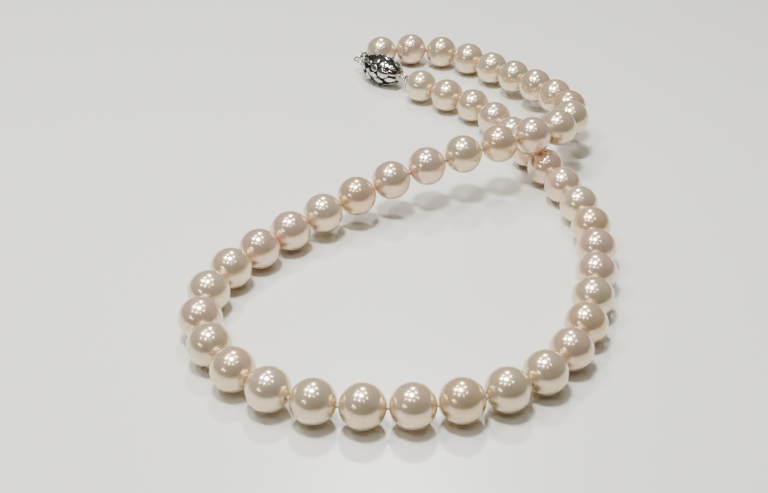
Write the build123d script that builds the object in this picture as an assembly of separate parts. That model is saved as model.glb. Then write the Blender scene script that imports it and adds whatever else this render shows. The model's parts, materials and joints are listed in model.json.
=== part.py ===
from build123d import *
import math
import os

# A knotted strand of pearls, closed by an olive-shaped clasp with a spring tongue.
# It lies on a surface in a figure of eight: a large loop in front (-Y), a narrow
# loop behind (+Y) that ends in the clasp, and one run that passes over the other.
# Millimetres, +Z up. The origin is under the middle of the strand, on the surface.

# Pearls and silk
pearl_count = 47
front_pearl_diameter = 8.3
clasp_pearl_diameter = 7.85
drill_diameter = 0.9
thread_diameter = 0.5
knot_diameter = 1.1
knot_recess_clearance = 0.06
pearl_gap = 0.25         # along the silk, between neighbouring pearls
thread_bend_share = 0.9  # of the knot's radius, how near its middle the thread bends

# Clasp barrel, an olive with its long axis level
clasp_length = 12.8
clasp_diameter = 7.4
shell_wall = 0.45
mouth_cap_length = 1.5   # the part of the olive that comes away with the tongue
mouth_gap = 0.12         # between the barrel and that cap
mouth_plate_thickness = 0.4
mouth_height = 1.65
crossbar_diameter = 0.7
crossbar_setback = 1.6   # from the middle of the olive, away from the mouth

# Tongue and its spring leaf
tongue_width = 2.0
tongue_side_clearance = 0.3
leaf_width = 1.6
strip_thickness = 0.3
strip_clearance = 0.1    # under the strip in the mouth
catch_height = 0.3       # how far the leaf stands above the mouth's top edge
catch_setback = 0.25     # behind the plate
tongue_reach = 7.4       # from the plate to the fold
fold_clearance = 0.08
tab_length = 0.5
tab_rise = 0.15          # above the olive's surface
tab_clearance = 0.2

# Rings and wire loops
ring_radius = 0.87
ring_wire_diameter = 0.45
loop_radius = 1.1
loop_wire_diameter = 0.09  # the fine wire that the coil is wound from
loop_thread_clearance = 0.04
loop_pearl_clearance = 0.1  # between the coil and the end pearl
jump_ring_radius = 1.4
link_clearance = 0.15

# How the strand lies. Each point is x, y and its share of the crossing's height.
crossing_clearance = 0.2
guide_steps_per_pearl = 12
settle_rounds = 9
clasp_place = (-5.4, 58.6)
clasp_heading = 140.0    # degrees from +X, from the barrel's ring to the mouth
lay_points = [
    (-5.5, 69.5, 0),
    (3.0, 70.0, 0),
    (11.0, 68.5, 0),
    (20.5, 60.5, 0),
    (30.0, 48.0, 0.2),
    (36.3, 37.0, 0.37),
    (38.5, 29.0, 0.5),
    (37.2, 21.0, 0.7),
    (32.3, 13.2, 0.9),
    (25.1, 8.8, 1.0),
    (17.4, 5.6, 0.93),
    (2.5, 0.4, 0.62),
    (-11.9, -7.2, 0.25),
    (-24.5, -17.0, 0),
    (-35.0, -30.0, 0),
    (-38.5, -37.5, 0),
    (-39.0, -46.0, 0),
    (-36.0, -54.0, 0),
    (-24.5, -66.0, 0),
    (-8.0, -70.0, 0),
    (8.5, -68.5, 0),
    (23.5, -61.0, 0),
    (32.0, -47.0, 0),
    (36.0, -31.0, 0),
    (37.5, -15.0, 0),
    (33.5, 1.5, 0),
    (27.5, 17.0, 0),
    (21.0, 32.0, 0),
    (16.5, 38.5, 0),
    (10.5, 44.0, 0),
    (3.5, 48.5, 0),
]

# Worked out from the sizes above
thread_radius = thread_diameter / 2
knot_radius = knot_diameter / 2
recess_radius = knot_radius + knot_recess_clearance
ring_wire_radius = ring_wire_diameter / 2
loop_bore_radius = thread_radius + loop_thread_clearance
loop_coil_radius = loop_bore_radius + loop_wire_diameter
loop_to_knot = loop_coil_radius - pearl_gap / 2 + loop_pearl_clearance  # from its middle line
loop_reach = 2 * loop_radius - ring_wire_radius - loop_coil_radius - link_clearance + loop_to_knot
jump_reach = 2 * (jump_ring_radius - ring_wire_radius) - link_clearance
clasp_half_length = clasp_length / 2
mouth_width = tongue_width + 2 * tongue_side_clearance
clasp_radius = clasp_diameter / 2
link_offset = clasp_half_length + 2 * ring_radius  # clasp centre to the ring's far wire
mouth_x = clasp_half_length - mouth_cap_length
plate_x = mouth_x - mouth_plate_thickness          # inner face of the mouth plate


def pearl_diameter(number):
    """Pearls grow evenly from the clasp to the front and shrink again."""
    share = math.sin(math.pi * (number - 0.5) / pearl_count)
    return clasp_pearl_diameter + (front_pearl_diameter - clasp_pearl_diameter) * share


diameters = [pearl_diameter(n) for n in range(1, pearl_count + 1)]


# The lay of the strand

def clasp_links(scale):
    """Where the two clasp rings hold the wire loops, for a lay of this scale."""
    heading = math.radians(clasp_heading)
    along = Vector(math.cos(heading), math.sin(heading), 0)
    middle = Vector(clasp_place[0] * scale, clasp_place[1] * scale, clasp_radius)
    return middle, along, middle + along * link_offset, middle - along * link_offset


def guide_points(scale, height):
    """A close row of points along the smooth line that the strand follows."""
    floor = clasp_pearl_diameter / 2
    rest = [Vector(x * scale, y * scale, floor + share * height) for x, y, share in lay_points]
    _, _, tongue_link, barrel_link = clasp_links(scale)
    curve = Spline(tongue_link, *rest, barrel_link)
    steps = guide_steps_per_pearl * pearl_count
    shares = [i / steps for i in range(steps + 1)]
    growth = (front_pearl_diameter - clasp_pearl_diameter) / 2
    return [
        place + Vector(0, 0, growth * math.sin(math.pi * share))
        for share, place in zip(shares, curve.positions(shares))
    ]


def step_along(points, start, begin, reach):
    """The point on the line at this straight distance from start, and its index."""
    for i in range(begin, len(points) - 1):
        if (points[i + 1] - start).length >= reach:
            near = (points[i] - start).length
            far = (points[i + 1] - start).length
            share = (reach - near) / (far - near)
            return points[i] + (points[i + 1] - points[i]) * share, i
    overrun = (points[-1] - points[-2]).normalized() * (reach - (points[-1] - start).length)
    return points[-1] + overrun, len(points) - 2


def lay_knots(scale, height):
    """Knots from the tongue's loop to the barrel's, and what is left of the line."""
    points = guide_points(scale, height)
    knot, place = step_along(points, points[0], 0, jump_reach + loop_reach)
    knots = [knot]
    for diameter in diameters:
        knot, place = step_along(points, knot, place, diameter + pearl_gap)
        knots.append(knot)
    ahead = points[-1] - knot
    past_end = ahead.dot(points[-1] - points[-2]) < 0
    return knots, (-1 if past_end else 1) * ahead.length - loop_reach


def middles(knots):
    return [(a + b) / 2 for a, b in zip(knots[:-1], knots[1:])]


def crossing_room(centres):
    """The least room between pearls that aren't neighbours."""
    rooms = [
        (centres[i] - centres[j]).length - (diameters[i] + diameters[j]) / 2
        for i in range(pearl_count)
        for j in range(i + 2, pearl_count)
    ]
    return min(rooms)


def settle_lay():
    """Scale the lay to the strand's length and lift the crossing until it is clear."""
    scale, height = 1.0, front_pearl_diameter
    strand = sum(diameters) + pearl_gap * pearl_count
    for _ in range(settle_rounds):
        knots, left = lay_knots(scale, height)
        room = crossing_room(middles(knots))
        scale *= 1 - left / strand
        height += crossing_clearance - room
    return scale, height, knots


lay_scale, crossing_height, lay = settle_lay()

lay_centres = middles(lay)
low_x = min(c.X - d / 2 for c, d in zip(lay_centres, diameters))
high_x = max(c.X + d / 2 for c, d in zip(lay_centres, diameters))
low_y = min(c.Y - d / 2 for c, d in zip(lay_centres, diameters))
high_y = max(c.Y + d / 2 for c, d in zip(lay_centres, diameters))
low_z = min(c.Z - d / 2 for c, d in zip(lay_centres, diameters))
to_origin = Vector(-(low_x + high_x) / 2, -(low_y + high_y) / 2, -low_z)
knots = [k + to_origin for k in lay]
clasp_middle, clasp_along, tongue_link, barrel_link = clasp_links(lay_scale)
clasp_middle, tongue_link, barrel_link = (
    place + to_origin for place in (clasp_middle, tongue_link, barrel_link)
)
clasp_location = Plane(origin=clasp_middle, x_dir=clasp_along, z_dir=(0, 0, 1)).location


def level_location(origin, towards):
    """A frame at origin whose X points at towards and whose Y is level."""
    along = (towards - origin).normalized()
    up = Vector(0, 0, 1)
    return Plane(origin=origin, x_dir=along, z_dir=up - along * up.dot(along)).location


def loop_location(link, knot):
    """The middle of the wire loop between a ring and the end knot."""
    along = (knot - link).normalized()
    return level_location(knot - along * (loop_radius + loop_to_knot), knot)


tongue_loop = loop_location(tongue_link, knots[0])
barrel_loop = loop_location(barrel_link, knots[-1])


# Pearls

def pearl(number):
    """A near-round pearl, drilled through, with both mouths opened for the knots."""
    radius = diameters[number - 1] / 2
    half = Circle(radius) & Pos(0, radius, 0) * Rectangle(2 * radius, 2 * radius)
    half -= Rectangle(3 * radius, drill_diameter)
    to_knot = radius + pearl_gap / 2
    for side in (-1, 1):
        half -= Pos(side * to_knot, 0, 0) * Circle(recess_radius)
    start, end = knots[number - 1], knots[number]
    return level_location((start + end) / 2, end) * revolve(half, axis=Axis.X)


# Silk, tied with a knot on each side of every pearl

def silk_route():
    """Straight through each pearl, with a small arc inside each knot."""
    radii = []
    for before, here, after in zip(knots[:-2], knots[1:-1], knots[2:]):
        half_turn = math.radians((here - before).get_angle(after - here)) / 2
        radii.append(thread_bend_share * knot_radius / math.tan(half_turn))
    return FilletPolyline(*knots, radius=radii)


def knot_ball(number):
    """A knot, turned so that its poles and seam are clear of the thread."""
    before, after = knots[max(number - 1, 0)], knots[min(number + 1, pearl_count)]
    along = (after - before).normalized()
    place = Plane(origin=knots[number], x_dir=along.cross(Vector(0, 0, 1)), z_dir=(0, 0, 1))
    return place.location * Sphere(knot_radius)


def silk_thread():
    route = silk_route()
    section = Plane(origin=route @ 0, z_dir=route % 0) * Circle(thread_radius)
    thread = sweep(section, path=route)
    thread += [knot_ball(n) for n in range(pearl_count + 1)]
    loop = Rot(0, 0, 90) * Torus(loop_radius, thread_radius)
    thread += tongue_loop * Rot(90, 0, 0) * loop
    return thread + barrel_loop * loop


def wire_loop():
    """A tight coil of fine wire over the silk's end loop, open where the knot sits."""
    tube = Torus(loop_radius, loop_coil_radius) - Torus(loop_radius, loop_bore_radius)
    return tube - Pos(loop_radius + loop_to_knot, 0, 0) * Sphere(recess_radius)


def jump_ring():
    """A level ring between the tongue's ring and the upright wire loop."""
    along = (knots[0] - tongue_link).normalized()
    middle = tongue_link + along * (jump_ring_radius - ring_wire_diameter - link_clearance)
    return level_location(middle, knots[0]) * Torus(jump_ring_radius, ring_wire_radius)


# Clasp, in its own frame: +X from the barrel's ring to the mouth

def olive(inset):
    """The olive, or the same olive with its surface moved inwards by inset."""
    half = Ellipse(clasp_half_length - inset, clasp_radius - inset)
    half &= Pos(0, clasp_radius / 2, 0) * Rectangle(2 * clasp_length, clasp_radius)
    return revolve(half, axis=Axis.X)


def slab(low, high, width=2 * clasp_diameter, bottom=-clasp_diameter, top=clasp_diameter):
    """A block between two X values."""
    return Pos((low + high) / 2, 0, (bottom + top) / 2) * Box(high - low, width, top - bottom)


def mouth_slot(low, high):
    return Pos((low + high) / 2, 0, 0) * Box(high - low, mouth_width, mouth_height)


crossbar = Pos(-crossbar_setback, 0, -mouth_height) * Rot(90, 0, 0) * Cylinder(
    crossbar_diameter / 2, clasp_diameter
)


def barrel_shell(side):
    """One pressed half of the barrel, above (1) or below (-1) its level seam."""
    shell = olive(0) - olive(shell_wall) - crossbar
    shell &= slab(-clasp_length, mouth_x)
    height = side * clasp_diameter
    return shell & slab(-clasp_length, clasp_length, bottom=min(0, height), top=max(0, height))


def mouth_plate():
    plate = olive(shell_wall) & slab(plate_x, mouth_x)
    return plate - mouth_slot(plate_x - 1, mouth_x + 1)


def barrel_crossbar():
    return crossbar & olive(0)


def clasp_ring(side):
    """A ring standing on the olive's tip, seated on its curve."""
    ring = Rot(90, 0, 0) * Torus(ring_radius, ring_wire_radius)
    return Pos(side * (clasp_half_length + ring_radius), 0, 0) * ring - olive(0)


fold_x = plate_x - tongue_reach
strip_bottom = -mouth_height / 2 + strip_clearance
strip_top = strip_bottom + strip_thickness
leaf_top_at_mouth = mouth_height / 2 - 2 * strip_clearance
catch_x = plate_x - catch_setback
catch_top = mouth_height / 2 + catch_height
tab_x = mouth_x + mouth_gap + tab_clearance
tab_top = clasp_radius * math.sqrt(1 - (tab_x / clasp_half_length) ** 2) + tab_rise


def tongue_cap():
    """The olive's other tip, notched for the thumb tab."""
    cap = olive(0) & slab(mouth_x + mouth_gap, clasp_length)
    notch_end = tab_x + tab_length + tab_clearance
    cap -= slab(mouth_x, notch_end, leaf_width + 2 * tab_clearance, bottom=strip_top)
    return cap - tongue_strip()


def tongue_strip():
    """The lower leaf, from its rolled fold to its seat in the cap."""
    strip = slab(fold_x, mouth_x + mouth_cap_length / 2, tongue_width, strip_bottom, strip_top)
    roll = Pos(fold_x, 0, strip_bottom + strip_thickness) * Rot(90, 0, 0) * Cylinder(
        strip_thickness, tongue_width
    )
    return strip + roll


def spring_leaf():
    """The upper leaf: it rises from the fold, steps down at the catch and ends in the tab."""
    root_x = fold_x + strip_thickness + fold_clearance
    root_z = strip_top + fold_clearance
    leaf_low = leaf_top_at_mouth - strip_thickness
    riser_x = catch_x - strip_thickness
    outline = Polyline(
        (root_x, root_z),
        (riser_x, catch_top - strip_thickness),
        (riser_x, leaf_low),
        (tab_x + tab_length, leaf_low),
        (tab_x + tab_length, tab_top),
        (tab_x, tab_top),
        (tab_x, leaf_top_at_mouth),
        (catch_x, leaf_top_at_mouth),
        (catch_x, catch_top),
        (riser_x, catch_top),
        (root_x, root_z + strip_thickness),
        close=True,
    )
    return extrude(Plane.XZ * make_face(outline), amount=leaf_width / 2, both=True)


# Write the parts

nodes = {f"pearl_{n:02d}": pearl(n) for n in range(1, pearl_count + 1)}
nodes["silk_thread"] = silk_thread()
nodes["wire_loop_tongue"] = tongue_loop * Rot(90, 0, 0) * wire_loop()
nodes["wire_loop_barrel"] = barrel_loop * wire_loop()
nodes["jump_ring"] = jump_ring()
clasp_pieces = {
    "barrel_top_shell": barrel_shell(1),
    "barrel_bottom_shell": barrel_shell(-1),
    "mouth_plate": mouth_plate(),
    "barrel_crossbar": barrel_crossbar(),
    "barrel_ring": clasp_ring(-1),
    "tongue_cap": tongue_cap(),
    "tongue_strip": tongue_strip(),
    "spring_leaf": spring_leaf(),
    "tongue_ring": clasp_ring(1),
}
for name, shape in clasp_pieces.items():
    nodes[name] = clasp_location * shape

os.makedirs("parts", exist_ok=True)
for name, shape in nodes.items():
    export_step(shape, f"parts/{name}.step")
print(f"{len(nodes)} nodes, lay scale {lay_scale:.4f}, crossing {crossing_height:.2f} mm")
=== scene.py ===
import json
import math
import bpy
import numpy as np
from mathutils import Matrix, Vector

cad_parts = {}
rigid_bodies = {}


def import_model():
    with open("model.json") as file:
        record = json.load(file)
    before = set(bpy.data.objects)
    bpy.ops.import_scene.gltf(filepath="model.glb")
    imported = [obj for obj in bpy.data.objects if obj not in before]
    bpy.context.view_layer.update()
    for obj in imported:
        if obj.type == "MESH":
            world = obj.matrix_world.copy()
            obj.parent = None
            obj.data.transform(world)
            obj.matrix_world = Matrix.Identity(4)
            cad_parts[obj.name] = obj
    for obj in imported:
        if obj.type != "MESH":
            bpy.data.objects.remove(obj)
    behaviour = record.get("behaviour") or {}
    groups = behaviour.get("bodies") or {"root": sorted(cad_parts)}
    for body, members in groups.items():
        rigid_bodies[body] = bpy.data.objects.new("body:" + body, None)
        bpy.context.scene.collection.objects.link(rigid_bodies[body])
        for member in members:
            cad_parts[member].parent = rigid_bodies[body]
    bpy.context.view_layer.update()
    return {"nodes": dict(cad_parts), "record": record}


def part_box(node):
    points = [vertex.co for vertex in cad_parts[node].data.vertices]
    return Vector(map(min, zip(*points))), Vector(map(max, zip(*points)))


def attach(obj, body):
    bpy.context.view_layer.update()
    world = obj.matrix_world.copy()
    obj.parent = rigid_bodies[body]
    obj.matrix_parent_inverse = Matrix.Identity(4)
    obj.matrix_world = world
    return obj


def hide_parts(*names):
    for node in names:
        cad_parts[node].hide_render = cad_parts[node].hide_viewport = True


# A knotted strand of cultured pearls with an olive clasp, lying in a figure of eight.

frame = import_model()
mm = 0.001
hinges = {j["name"]: j for j in frame["record"]["behaviour"]["joints"]}
bodyOf = {n: b for b, ns in frame["record"]["behaviour"]["bodies"].items() for n in ns}


# Small helpers

def linear(hexColour):
    # sRGB hex to linear RGBA
    parts = [int(hexColour[i:i + 2], 16) / 255 for i in (1, 3, 5)]
    return [c / 12.92 if c <= 0.04045 else ((c + 0.055) / 1.055) ** 2.4 for c in parts] + [1.0]


def addNode(tree, kind, settings=None, **links):
    # one node with its socket settings and links; a tuple value is (node, output name)
    node = tree.nodes.new(kind)
    for key, value in (settings or {}).items():
        if hasattr(node, key):
            setattr(node, key, value)
        else:
            node.inputs[key].default_value = value
    for key, source in links.items():
        socket = node.inputs[int(key[1:])] if key[0] == "i" and key[1:].isdigit() else node.inputs[key]
        tree.links.new(source[0].outputs[source[1]], socket)
    return node


def newMaterial(name):
    # an empty node material with one Principled shader
    material = bpy.data.materials.new(name)
    material.use_nodes = True
    tree = material.node_tree
    tree.nodes.clear()
    output = tree.nodes.new("ShaderNodeOutputMaterial")
    shader = tree.nodes.new("ShaderNodeBsdfPrincipled")
    tree.links.new(shader.outputs[0], output.inputs[0])
    return material, tree, shader


def gridMesh(name, points, closeU=False, closeV=False, fanU=False, foldU=False):
    # A mesh from a grid of points, rows along u and columns along v, that faces outwards
    # where u, v and outwards are a right-handed set. A closed direction joins its last line
    # to its first. fanU closes the first and last rows with a fan, and foldU closes them by
    # joining column v to column cols - 1 - v.
    rows, cols = points.shape[:2]
    index = np.arange(rows * cols).reshape(rows, cols)
    if closeU:
        index = np.vstack([index, index[:1]])
    if closeV:
        index = np.hstack([index, index[:, :1]])
    quads = np.stack([index[:-1, :-1], index[:-1, 1:], index[1:, 1:], index[1:, :-1]], -1).reshape(-1, 4)
    verts = points.reshape(-1, 3)
    if foldU:
        for line in (index[0, :cols][::-1], index[-1, :cols]):
            near, far = line[:cols // 2], line[::-1][:cols // 2]
            quads = np.vstack([quads, np.stack([near[:-1], near[1:], far[1:], far[:-1]], -1)])
    fans = np.zeros((0, 3), int)
    if fanU:
        first = len(verts)
        verts = np.vstack([verts, points[0].mean(0), points[-1].mean(0)])
        a, b = index[0], index[-1]
        fans = np.vstack([np.stack([a[1:], a[:-1], np.full(len(a) - 1, first)], -1),
                          np.stack([b[:-1], b[1:], np.full(len(b) - 1, first + 1)], -1)])
    loops = np.concatenate([quads.ravel(), fans.ravel()])
    totals = np.concatenate([np.full(len(quads), 4), np.full(len(fans), 3)])
    mesh = bpy.data.meshes.new(name)
    mesh.vertices.add(len(verts))
    mesh.vertices.foreach_set("co", verts.ravel())
    mesh.loops.add(len(loops))
    mesh.loops.foreach_set("vertex_index", loops.astype(np.int32))
    mesh.polygons.add(len(totals))
    mesh.polygons.foreach_set("loop_start", (np.cumsum(totals) - totals).astype(np.int32))
    mesh.polygons.foreach_set("loop_total", totals.astype(np.int32))
    mesh.update(calc_edges=True)
    mesh.validate()
    mesh.shade_smooth()
    return mesh


def addPiece(name, mesh, material, body, stands):
    # a finished piece that rides a body and stands for the named nodes
    piece = bpy.data.objects.new(name, mesh)
    bpy.context.scene.collection.objects.link(piece)
    mesh.materials.append(material)
    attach(piece, body)
    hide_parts(*stands)


# Where things lie, read from the frame

def boxOf(node):
    low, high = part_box(node)
    return np.array(low, float), np.array(high, float)


pearlTotal = sum(1 for n in frame["nodes"] if n.startswith("pearl_"))
boxes = [boxOf(f"pearl_{n:02d}") for n in range(1, pearlTotal + 1)]
centres = np.array([(low + high) / 2 for low, high in boxes])
radii = np.array([(high - low).max() / 2 for low, high in boxes])


def knotPlaces():
    # Every knot between two pearls is a hinge of the frame, and the two end knots are the
    # last inner knots mirrored in the middles of the end pearls.
    places = np.zeros((pearlTotal + 1, 3))
    for joint in hinges.values():
        parent, child = joint["parent"], joint["child"]
        if parent.startswith("pearl_") and child.startswith("pearl_"):
            number = min(int(parent[6:]), int(child[6:]))
            places[number] = joint["pos_m"]
    places[0] = 2 * centres[0] - places[1]
    places[-1] = 2 * centres[-1] - places[-2]
    return places


knots = knotPlaces()


def unit(v):
    return v / np.linalg.norm(v)


def frameAlong(direction):
    # columns: along, level side, up
    along = unit(np.asarray(direction, float))
    side = unit(np.cross((0, 0, 1), along))
    return np.stack([along, side, np.cross(along, side)], -1)


# Nacre: thin layers of aragonite over a bead. Light goes a little way in, so the body glows,
# and the skin reflects like a soft mirror with a rosé or greenish tint.

nacre = {
    "tones": ["#ecd6b9", "#ebd0ba", "#e6d4b7", "#edd3bf", "#e4d5b8", "#ecdcc0", "#e9cfae"],
    "deepening": (0.93, 0.86, 0.76),
    "driftSize": 4 * mm,
    "terraceSize": 0.5 * mm,
    "terraceRelief": 0.02 * mm,
    "metallic": 0.68,
    "roughness": 0.19,
    "coat": 0.6,
    "coatRoughness": 0.05,
    "ior": 1.6,
    "filmThickness": 420,
    "filmIor": 1.5,
    "scatter": 0.15,
    "scatterDepth": 1.2 * mm,
    "scatterColour": (1.0, 0.7, 0.5),
}


def nacreMaterial(number, tone):
    material, tree, shader = newMaterial(f"cultured nacre {number}")
    place = addNode(tree, "ShaderNodeTexCoord")
    # the body colour drifts between a pale tone and a deeper one
    drift = addNode(tree, "ShaderNodeTexNoise", {"Scale": 1 / nacre["driftSize"], "Detail": 2.0},
                    Vector=(place, "Object"))
    deep = [c * k for c, k in zip(linear(tone)[:3], nacre["deepening"])] + [1]
    blend = addNode(tree, "ShaderNodeMix", {"data_type": "RGBA"}, i0=(drift, "Fac"))
    blend.inputs[6].default_value = linear(tone)
    blend.inputs[7].default_value = deep
    tree.links.new(blend.outputs[2], shader.inputs["Base Color"])
    # growth terraces of 0.1 mm are drawn at 0.5 mm, so that they just show
    terraces = addNode(tree, "ShaderNodeTexNoise",
                       {"Scale": 1 / nacre["terraceSize"], "Detail": 3.0, "Distortion": 0.4},
                       Vector=(place, "Object"))
    bump = addNode(tree, "ShaderNodeBump", {"Strength": 0.05, "Distance": nacre["terraceRelief"]},
                   Height=(terraces, "Fac"))
    tree.links.new(bump.outputs[0], shader.inputs["Normal"])
    rough = addNode(tree, "ShaderNodeMapRange", {"To Min": nacre["roughness"] - 0.04,
                                                 "To Max": nacre["roughness"] + 0.05},
                    Value=(drift, "Fac"))
    tree.links.new(rough.outputs[0], shader.inputs["Roughness"])
    for key, value in (("Metallic", nacre["metallic"]), ("IOR", nacre["ior"]),
                       ("Coat Weight", nacre["coat"]), ("Coat Roughness", nacre["coatRoughness"]),
                       ("Coat IOR", nacre["ior"]), ("Thin Film Thickness", nacre["filmThickness"]),
                       ("Thin Film IOR", nacre["filmIor"]), ("Subsurface Weight", nacre["scatter"]),
                       ("Subsurface Scale", nacre["scatterDepth"]),
                       ("Subsurface Radius", nacre["scatterColour"])):
        shader.inputs[key].default_value = value
    return material


nacreMaterials = [nacreMaterial(i, tone) for i, tone in enumerate(nacre["tones"], 1)]
print("materials: nacre")

pearlShape = {
    "rings": 72,
    "sides": 96,
    "boreRadius": 0.45 * mm,
    "mouthRadius": 0.61 * mm,
    "mouthDepth": 0.2 * mm,
    "ovality": 0.0015,
    "seed": 11,
}


def makePearl(number):
    # A sphere drawn as rings about the drill axis, from one drill mouth to the other, then
    # back through the bore. Each radius is multiplied by 1 plus a small sum of low waves.
    radius, middle = radii[number - 1], centres[number - 1]
    basis = frameAlong(knots[number] - knots[number - 1])
    draw = np.random.default_rng(pearlShape["seed"] + number)
    edge = math.asin(pearlShape["mouthRadius"] / radius)
    polar = np.linspace(edge, math.pi - edge, pearlShape["rings"])[:, None]
    turn = np.linspace(0, 2 * math.pi, pearlShape["sides"], endpoint=False)[None, :]
    phases, sizes = draw.uniform(0, 2 * math.pi, 3), draw.uniform(-1, 1, 3)
    wave = (sizes[0] * np.cos(2 * polar + phases[0]) + sizes[1] * np.cos(2 * turn + phases[1])
            * np.sin(polar) ** 2 + sizes[2] * np.cos(turn + phases[2]) * np.sin(polar))
    r = radius * (1 + pearlShape["ovality"] * wave)
    outer = np.stack([-r * np.cos(polar), r * np.sin(polar) * np.cos(turn),
                      r * np.sin(polar) * np.sin(turn)], -1)
    reach = outer[-1, :, 0].mean() - pearlShape["mouthDepth"]
    boreX = np.array([reach, 0, -reach])[:, None] + 0 * turn
    bore = np.stack([boreX, pearlShape["boreRadius"] * np.cos(turn) + 0 * boreX,
                     pearlShape["boreRadius"] * np.sin(turn) + 0 * boreX], -1)
    points = np.concatenate([outer, bore]) @ basis.T + middle
    name = f"pearl_{number:02d}"
    mesh = gridMesh(name, points, closeU=True, closeV=True)
    tone = (number * 5 + number // 3) % len(nacreMaterials)
    addPiece("nacre_" + name, mesh, nacreMaterials[tone], bodyOf[name], [name])


for number in range(1, pearlTotal + 1):
    makePearl(number)
print("pearls:", pearlTotal)


# Silk: a three-ply twisted thread. It is matt, with a faint sheen from its fibres.

silk = {
    "colour": "#efe6d4",
    "shadedColour": "#d8cbb2",
    "roughness": 0.62,
    "sheen": 0.4,
    "fibreSize": 0.15 * mm,
    "fibreRelief": 0.02 * mm,
    "radius": 0.25 * mm,
    "plies": 3,
    "plyTwist": 0.9 * mm,
    "plyDepth": 0.14,
    "knotRadius": 0.54 * mm,
    "knotStrand": 0.2 * mm,
    "loopRadius": 1.1 * mm,
    "loopToKnot": 0.355 * mm,
}


def makeSilkMaterial():
    material, tree, shader = newMaterial("twisted silk")
    place = addNode(tree, "ShaderNodeTexCoord")
    fibres = addNode(tree, "ShaderNodeTexNoise", {"Scale": 1 / silk["fibreSize"], "Detail": 3.0},
                     Vector=(place, "Object"))
    shade = addNode(tree, "ShaderNodeMix", {"data_type": "RGBA"}, i0=(fibres, "Fac"))
    shade.inputs[6].default_value = linear(silk["shadedColour"])
    shade.inputs[7].default_value = linear(silk["colour"])
    tree.links.new(shade.outputs[2], shader.inputs["Base Color"])
    bump = addNode(tree, "ShaderNodeBump", {"Strength": 0.3, "Distance": silk["fibreRelief"]},
                   Height=(fibres, "Fac"))
    tree.links.new(bump.outputs[0], shader.inputs["Normal"])
    shader.inputs["Roughness"].default_value = silk["roughness"]
    shader.inputs["Sheen Weight"].default_value = silk["sheen"]
    return material


silkMaterial = makeSilkMaterial()


def tube(path, normals, radius, sides, closed, plies=0, twist=1.0, depth=0.0):
    # Rings around a path: path + r (cos turn * out + sin turn * side). The radius dips by
    # depth between plies, whose pattern turns once per twist.
    ahead = np.roll(path, -1, 0) - np.roll(path, 1, 0)
    if not closed:
        ahead[0], ahead[-1] = path[1] - path[0], path[-1] - path[-2]
    along = ahead / np.linalg.norm(ahead, axis=1, keepdims=True)
    out = normals - along * (normals * along).sum(1, keepdims=True)
    out /= np.linalg.norm(out, axis=1, keepdims=True)
    side = np.cross(along, out)
    steps = np.linalg.norm(np.diff(path, axis=0), axis=1)
    length = np.concatenate([[0], np.cumsum(steps)])[:, None]
    turn = np.linspace(0, 2 * math.pi, sides, endpoint=False)[None, :]
    r = radius * (1 - depth * (0.5 + 0.5 * np.cos(plies * (turn - 2 * math.pi * length / twist))))
    return (path[:, None] + r[..., None] * (np.cos(turn)[..., None] * out[:, None]
                                            + np.sin(turn)[..., None] * side[:, None]))


def placesOf(mesh):
    places = np.empty(3 * len(mesh.vertices))
    mesh.vertices.foreach_get("co", places)
    return places.reshape(-1, 3)


def joinMeshes(name, meshes):
    # one mesh from several, with their vertices and faces in order
    places = [placesOf(m) for m in meshes]
    shifts = np.cumsum([0] + [len(p) for p in places[:-1]]).tolist()
    faces = [[i + shift for i in p.vertices] for m, shift in zip(meshes, shifts) for p in m.polygons]
    joined = bpy.data.meshes.new(name)
    joined.from_pydata(np.concatenate(places), [], faces)
    joined.shade_smooth()
    return joined


def knotMesh(number):
    # A trefoil wound tightly enough to fill a ball, with its axis along the strand:
    # -sin 3t, sin t + 2 sin 2t, cos t - 2 cos 2t, which reaches 3 from its middle.
    before, after = knots[max(number - 1, 0)], knots[min(number + 1, pearlTotal)]
    basis = frameAlong(after - before)
    t = np.linspace(0, 2 * math.pi, 48, endpoint=False)
    curve = np.stack([-np.sin(3 * t), np.sin(t) + 2 * np.sin(2 * t), np.cos(t) - 2 * np.cos(2 * t)], -1)
    strand = silk["knotStrand"]
    path = curve / 3 * (silk["knotRadius"] - strand)
    outward = curve * (0.2, 1, 1)
    rings = tube(path, outward, strand, 8, True) @ basis.T + knots[number]
    return gridMesh("knot", rings, closeU=True, closeV=True)


def threadMesh(start, end):
    # a straight length of silk from one knot to the next
    path = np.linspace(start, end, 24)
    up = np.tile((0.0, 0.0, 1.0), (24, 1))
    rings = tube(path, up, silk["radius"], 12, False, silk["plies"], silk["plyTwist"], silk["plyDepth"])
    return gridMesh("thread", rings, closeV=True, fanU=True)


def loopPlace(node, knot):
    # Where the end loop lies: its middle, the way to its knot, and its axis, read from the
    # node that guards it.
    points = placesOf(frame["nodes"][node].data)
    middle = points.mean(0)
    axis = np.linalg.svd(points - middle, full_matrices=False)[2][2]
    toKnot = unit(knot - middle)
    axis = unit(np.cross(toKnot, np.cross(axis, toKnot)))
    return knot - toKnot * (silk["loopRadius"] + silk["loopToKnot"]), toKnot, axis


ends = {
    "wire_loop_tongue": (knots[0], "pearl_01"),
    "wire_loop_barrel": (knots[-1], f"pearl_{pearlTotal:02d}"),
}


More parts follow.
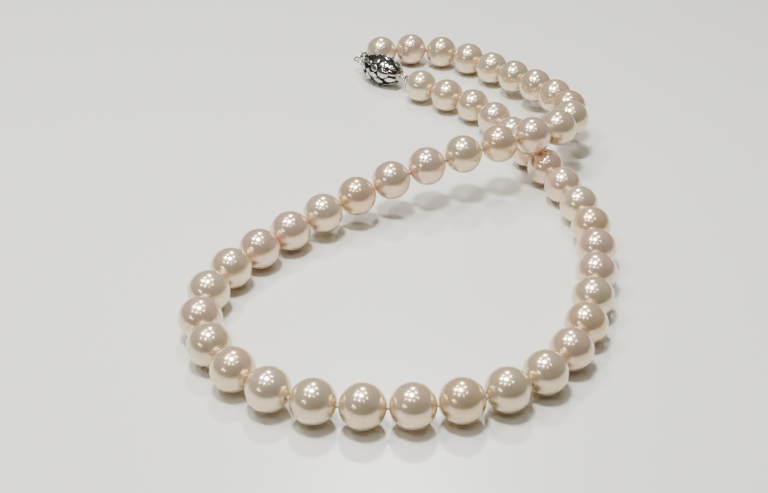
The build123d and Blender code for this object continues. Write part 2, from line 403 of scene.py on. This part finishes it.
def makeSilk():
    # one stretch in each pearl with the knot behind it, and a loop at each end
    for number in range(1, pearlTotal + 1):
        parts = [threadMesh(knots[number - 1], knots[number]), knotMesh(number)]
        if number == 1:
            parts.append(knotMesh(0))
        name = f"silk_{number:02d}"
        mesh = joinMeshes(name, parts)
        addPiece(name, mesh, silkMaterial, f"pearl_{number:02d}", ["silk_thread"])
    for node, (knot, body) in ends.items():
        middle, toKnot, axis = loopPlace(node, knot)
        turn = np.linspace(0, 2 * math.pi, 60, endpoint=False)[:, None]
        outward = np.cos(turn) * toKnot + np.sin(turn) * np.cross(axis, toKnot)
        name = "silk_in_" + node
        rings = tube(middle + silk["loopRadius"] * outward, outward, silk["radius"], 10, True)
        mesh = gridMesh(name, rings, closeU=True, closeV=True)
        addPiece(name, mesh, silkMaterial, body, ["silk_thread"])


makeSilk()
print("silk and knots")


# Silver: pressed and polished, then plated with rhodium, so it is a bright, faintly warm grey
# mirror. Light wear makes it a little uneven, and the recesses get a painted dark shade.

silver = {
    "colour": "#dcdcd9",
    "wornColour": "#c9c8c4",
    "wearSize": 0.8 * mm,
    "wearRelief": 0.01 * mm,
    # a painted shade colour for the recesses, where shade falls in the grooves
    "recessShadeColour": "#2b2a28",
    "roughness": 0.1,
    "recessRoughness": 0.5,
    "recessHeights": (0.12, 0.5),
}


def silverMaterial(name, relief):
    material, tree, shader = newMaterial(name)
    place = addNode(tree, "ShaderNodeTexCoord")
    wear = addNode(tree, "ShaderNodeTexNoise", {"Scale": 1 / silver["wearSize"], "Detail": 4.0},
                   Vector=(place, "Object"))
    rough = addNode(tree, "ShaderNodeMapRange", {"To Min": silver["roughness"] * 0.6,
                                                 "To Max": silver["roughness"] * 1.6}, Value=(wear, "Fac"))
    tint = addNode(tree, "ShaderNodeMix", {"data_type": "RGBA"}, i0=(wear, "Fac"))
    tint.inputs[6].default_value = linear(silver["colour"])
    tint.inputs[7].default_value = linear(silver["wornColour"])
    colour, roughness = (tint, 2), (rough, 0)
    if relief:
        # the attribute is 0 in the recesses and 1 on top of the bosses
        depth = addNode(tree, "ShaderNodeAttribute", {"attribute_name": "relief"})
        low, top = silver["recessHeights"]
        high = addNode(tree, "ShaderNodeMapRange", {"From Min": low, "From Max": top}, Value=(depth, "Fac"))
        # painted shade: the recesses are mixed towards the dark recess colour, and made duller
        dark = addNode(tree, "ShaderNodeMix", {"data_type": "RGBA"}, i0=(high, 0), i7=colour)
        dark.inputs[6].default_value = linear(silver["recessShadeColour"])
        dull = addNode(tree, "ShaderNodeMix", {"data_type": "FLOAT"}, i0=(high, 0), i3=roughness)
        dull.inputs[2].default_value = silver["recessRoughness"]
        colour, roughness = (dark, 2), (dull, 0)
    tree.links.new(colour[0].outputs[colour[1]], shader.inputs["Base Color"])
    tree.links.new(roughness[0].outputs[roughness[1]], shader.inputs["Roughness"])
    bump = addNode(tree, "ShaderNodeBump", {"Strength": 0.08, "Distance": silver["wearRelief"]},
                   Height=(wear, "Fac"))
    tree.links.new(bump.outputs[0], shader.inputs["Normal"])
    shader.inputs["Metallic"].default_value = 1.0
    return material


plainSilver = silverMaterial("rhodium-plated silver", False)
carvedSilver = silverMaterial("rhodium-plated silver with painted shade in the recesses", True)

coil = {
    "wire": 0.09 * mm,
    "innerRadius": 0.29 * mm,
    "fill": 0.82,
    "knotClearance": 0.05 * mm,
    "valley": 0.35,
    "sides": 20,
    "stepsPerTurn": 8,
}


def makeCoils():
    # A torus whose small radius goes up and down once for each turn of the fine wire, as
    # inner + wire (valley + (1 - valley) |sin|), and its smooth inside.
    for node, (knot, body) in ends.items():
        middle, toKnot, axis = loopPlace(node, knot)
        turns = int(2 * math.pi * silk["loopRadius"] / coil["wire"] * coil["fill"])
        start = (silk["knotRadius"] + coil["knotClearance"]) / silk["loopRadius"]
        angle = np.linspace(start, 2 * math.pi - start, coil["stepsPerTurn"] * turns)[:, None]
        outward = np.cos(angle) * toKnot + np.sin(angle) * np.cross(axis, toKnot)
        path = middle + silk["loopRadius"] * outward
        around = np.linspace(0, 2 * math.pi, coil["sides"], endpoint=False)[None, :, None]
        ways = np.cos(around) * outward[:, None] - np.sin(around) * axis
        ridge = np.abs(np.sin(math.pi * turns * (angle - start) / (2 * math.pi - 2 * start)))
        r = coil["innerRadius"] + coil["wire"] * (coil["valley"] + (1 - coil["valley"]) * ridge)
        shape = path[:, None] + r[..., None] * ways
        inner = (path[:, None] + coil["innerRadius"] * ways)[::-coil["stepsPerTurn"]]
        mesh = gridMesh("coil_" + node, np.concatenate([shape, inner]), closeU=True, closeV=True)
        addPiece("coil_" + node, mesh, plainSilver, body, [node])


makeCoils()
print("wire coils")


# Clasp: two pressed half shells and the tongue's cap share one scrolled pattern of bosses
# with sunk gaps between them, which are painted dark as shade.

clasp = {
    "halfLength": 6.4 * mm,
    "radius": 3.7 * mm,
    "wall": 0.45 * mm,
    "mouth": 4.9 * mm,
    "mouthGap": 0.12 * mm,
    "notch": (5.92 * mm, 1.0 * mm),
    "notchFloor": 0.05 * mm,
    "tipRadius": 0.02 * mm,
    "seam": 0.004,
    "shellSides": 200,
    "capSteps": 90,
    "capSides": 360,
    "gapDepth": 0.32 * mm,
    "bossRise": 0.1 * mm,
    "fadeLength": 0.9 * mm,
    "patternTurns": (0.25, 0.25 + 2 * math.pi / 3, 0.25 + 4 * math.pi / 3),
    "shellSteps": 260,
}

# Each boss: place along the olive and around it, half length, half width (all in mm), and
# its lean in degrees. The set is laid three times around the olive.
bosses = [
    (4.5, 0.2, 1.7, 0.62, 20), (4.2, 1.75, 1.7, 0.68, 8), (4.4, -1.3, 1.6, 0.6, 35),
    (1.95, 1.7, 0.72, 0.72, 0), (1.8, -0.3, 0.66, 0.55, 0), (1.9, -2.0, 1.1, 0.66, 60),
    (0.0, 0.85, 1.15, 0.85, 30), (0.1, -1.1, 1.4, 0.6, 12), (0.1, 2.8, 1.0, 0.7, -30),
    (-1.3, -2.5, 1.3, 0.7, 15), (-2.7, 0.05, 1.5, 1.3, 15), (-2.3, 2.4, 1.25, 0.9, -20),
    (-4.6, -1.4, 1.3, 0.6, 10), (-4.9, 0.5, 1.3, 0.6, 0), (-4.4, 2.1, 1.1, 0.6, -10),
]


def claspFrame():
    # the middle of the olive, and its axes with the first along it
    tongue, barrel = (np.array(hinges[n]["pos_m"]) for n in ("tongue_swing", "barrel_swing"))
    return (tongue + barrel) / 2, frameAlong(tongue - barrel)


def reliefAt(x, turn):
    # The height of the tallest boss at each place: 1 in its middle and 0 outside it.
    height = np.zeros(np.broadcast(x, turn).shape)
    for shift in clasp["patternTurns"]:
        for along, around, length, width, lean in bosses:
            c, s = math.cos(math.radians(lean)), math.sin(math.radians(lean))
            local = clasp["radius"] * math.sqrt(1 - (along * mm / clasp["halfLength"]) ** 2)
            gap = (turn - shift - around * mm / local + math.pi) % (2 * math.pi) - math.pi
            dx, dy = x - along * mm, gap * local
            q = ((c * dx + s * dy) / (length * mm)) ** 2 + ((c * dy - s * dx) / (width * mm)) ** 2
            height = np.maximum(height, np.sqrt(np.clip(1 - q, 0, 1)))
    return height


def olive(x, inset):
    # radius of an ellipsoid of revolution at x, drawn in by the inset
    share = x / (clasp["halfLength"] - inset)
    return (clasp["radius"] - inset) * np.sqrt(np.clip(1 - share ** 2, 0, 1))


def carved(x, turn):
    # The olive's radius, raised on the bosses and sunk between them. It fades at the tips.
    height = reliefAt(x, turn)
    fade = np.clip((clasp["halfLength"] - np.abs(x)) / clasp["fadeLength"], 0, 1)
    sunk = 1 - np.clip(3 * height, 0, 1)
    r = olive(x, 0) + fade * (clasp["bossRise"] * height - clasp["gapDepth"] * sunk)
    return np.maximum(r, clasp["tipRadius"]), height * fade + (1 - fade)


def claspMesh(name, x, r, turn, height, **ends):
    # x and r are rows along the piece, and turn goes around it from the level side
    middle, basis = claspFrame()
    points = np.stack([x + 0 * r, r * np.cos(turn), r * np.sin(turn)], -1) @ basis.T + middle
    mesh = gridMesh(name, points, closeV=True, **ends)
    relief = mesh.attributes.new("relief", "FLOAT", "POINT")
    values = np.zeros(len(mesh.vertices), np.float32)
    values[:height.size] = height.ravel()
    relief.data.foreach_set("value", values)
    return mesh


def makeShell(name, low):
    # Around half of the olive outside, then back inside the wall, at every step along it.
    # The inside is a smaller olive, whose steps shrink towards the mouth.
    half, mouth, wall = clasp["halfLength"], clasp["mouth"], clasp["wall"]
    x = -half * np.cos(np.linspace(0, math.pi, clasp["shellSteps"]))
    x = np.append(x[x < mouth], mouth)[:, None]
    turn = np.linspace(low + clasp["seam"], low + math.pi - clasp["seam"], clasp["shellSides"])[None, :]
    outer, height = carved(x, turn)
    inX = mouth + (x - mouth) * (mouth + half - wall) / (mouth + half)
    inner = np.maximum(olive(inX, wall), clasp["tipRadius"] / 2) + 0 * turn
    places = np.hstack([x + 0 * turn, inX + 0 * turn])
    mesh = claspMesh("carved_" + name, places, np.hstack([outer, inner]),
                     np.hstack([turn, turn[:, ::-1]]), np.hstack([height, 0 * inner]), foldU=True)
    addPiece("carved_" + name, mesh, carvedSilver, bodyOf[name], [name])


def makeCap():
    # The tip beyond the mouth, a solid with a notch for the thumb tab.
    start, tip = clasp["mouth"] + clasp["mouthGap"], clasp["halfLength"]
    x = start + (tip - start) * np.sin(np.linspace(0, math.pi / 2, clasp["capSteps"]))[:, None]
    turn = np.linspace(0, 2 * math.pi, clasp["capSides"], endpoint=False)[None, :]
    r, height = carved(x, turn)
    notchEnd, notchHalf = clasp["notch"]
    inNotch = (x < notchEnd) & (np.abs(r * np.cos(turn)) < notchHalf) & (np.sin(turn) > 0)
    r = np.where(inNotch, clasp["notchFloor"], r)
    mesh = claspMesh("carved_tongue_cap", x, r, turn, height, fanU=True)
    addPiece("carved_tongue_cap", mesh, carvedSilver, bodyOf["tongue_cap"], ["tongue_cap"])


plainNodes = ["mouth_plate", "barrel_crossbar", "barrel_ring", "tongue_strip", "tongue_ring",
              "spring_leaf", "jump_ring"]

makeShell("barrel_top_shell", 0)
makeShell("barrel_bottom_shell", math.pi)
makeCap()
for node in plainNodes:
    metal = frame["nodes"][node].data.materials
    metal.clear()
    metal.append(plainSilver)
print("clasp")


# Floor, light and camera

studio = {
    "floorColour": "#e1e0d7",
    "floorRoughness": 0.28,
    "ceilingColour": "#a39a8f",
    "darkColour": "#3f372e",
    "worldStrength": 0.6,
    "lens": 58.4,
    "cameraPlace": (-4.6 * mm, -229.6 * mm, 144.1 * mm),
    "cameraDown": 34.0,
    "sensorWidth": 36,
    "floorHalf": 3.0,
    "lampHeight": 0.43,
    "lampPower": 0.56,
}

# Lamps of the main cluster: x, y, size (m) and share of the power
lamps = [
    (-0.22, 0.06, 0.075, 1.8), (-0.05, -0.01, 0.08, 4.2), (-0.15, 0.19, 0.07, 0.5),
    (0.09, 0.11, 0.065, 0.5), (-0.3, -0.12, 0.05, 0.3), (-0.13, -0.19, 0.055, 0.4),
    (0.15, -0.1, 0.04, 0.2), (-0.02, 0.31, 0.05, 0.3), (0.03, -0.23, 0.03, 0.12),
]

# Single lamps: name, place (m), size (m) and power (W)
singleLamps = [
    ("back lamp", (0.0, 0.9, 1.1), 0.12, 8.0),
    ("left sparkle", (-0.6, -0.5, 0.42), 0.05, 0.4),
    ("low sparkle", (-0.5, -0.62, 0.4), 0.035, 0.2),
]


def makeFloor():
    mesh = bpy.data.meshes.new("floor")
    half = studio["floorHalf"]
    corners = [(-half, -half, 0), (half, -half, 0), (half, half, 0), (-half, half, 0)]
    mesh.from_pydata(corners, [], [(0, 1, 2, 3)])
    floor = bpy.data.objects.new("floor", mesh)
    bpy.context.scene.collection.objects.link(floor)
    material, tree, shader = newMaterial("satin laminate floor")
    shader.inputs["Base Color"].default_value = linear(studio["floorColour"])
    shader.inputs["Roughness"].default_value = studio["floorRoughness"]
    mesh.materials.append(material)


def makeLight(name, place, size, power, aim=(0, 0, 0)):
    # a round lamp that shines from its place towards the aim
    data = bpy.data.lights.new(name, "AREA")
    data.shape, data.size, data.energy = "DISK", size, power
    lamp = bpy.data.objects.new(name, data)
    lamp.location = place
    direction = unit(np.array(aim, float) - np.array(place, float))
    heading = math.atan2(direction[1], direction[0])
    lamp.rotation_euler = (math.acos(-direction[2]), 0, heading - math.pi / 2)
    bpy.context.scene.collection.objects.link(lamp)


def makeRoom():
    # A room that is dim in front and lighter behind and above
    world = bpy.data.worlds.new("soft room")
    world.use_nodes = True
    tree = world.node_tree
    background = tree.nodes["Background"]
    way = addNode(tree, "ShaderNodeTexCoord")
    facing = addNode(tree, "ShaderNodeVectorMath", {"operation": "DOT_PRODUCT"}, i0=(way, "Generated"))
    facing.inputs[1].default_value = (0.1, -0.8, 0.6)
    share = addNode(tree, "ShaderNodeMapRange", {"From Min": 0.1, "From Max": 0.95},
                    Value=(facing, "Value"))
    tone = addNode(tree, "ShaderNodeMix", {"data_type": "RGBA"}, i0=(share, 0))
    tone.inputs[6].default_value = linear(studio["ceilingColour"])
    tone.inputs[7].default_value = linear(studio["darkColour"])
    tree.links.new(tone.outputs[2], background.inputs[0])
    background.inputs[1].default_value = studio["worldStrength"]
    bpy.context.scene.world = world


def makeStudio():
    # the room, the lamps and the camera
    makeRoom()
    for number, (x, y, size, share) in enumerate(lamps, 1):
        place = (x, y - 0.03, studio["lampHeight"])
        makeLight(f"lamp {number}", place, size, share * studio["lampPower"], (x * 0.6, y * 0.5, 0))
    for lamp in singleLamps:
        makeLight(*lamp)
    data = bpy.data.cameras.new("camera")
    data.lens, data.sensor_width = studio["lens"], studio["sensorWidth"]
    camera = bpy.data.objects.new("camera", data)
    camera.location = studio["cameraPlace"]
    camera.rotation_euler = (math.radians(90 - studio["cameraDown"]), 0, 0)
    bpy.context.scene.collection.objects.link(camera)
    bpy.context.scene.camera = camera


makeFloor()
makeStudio()
print("floor, light and camera")
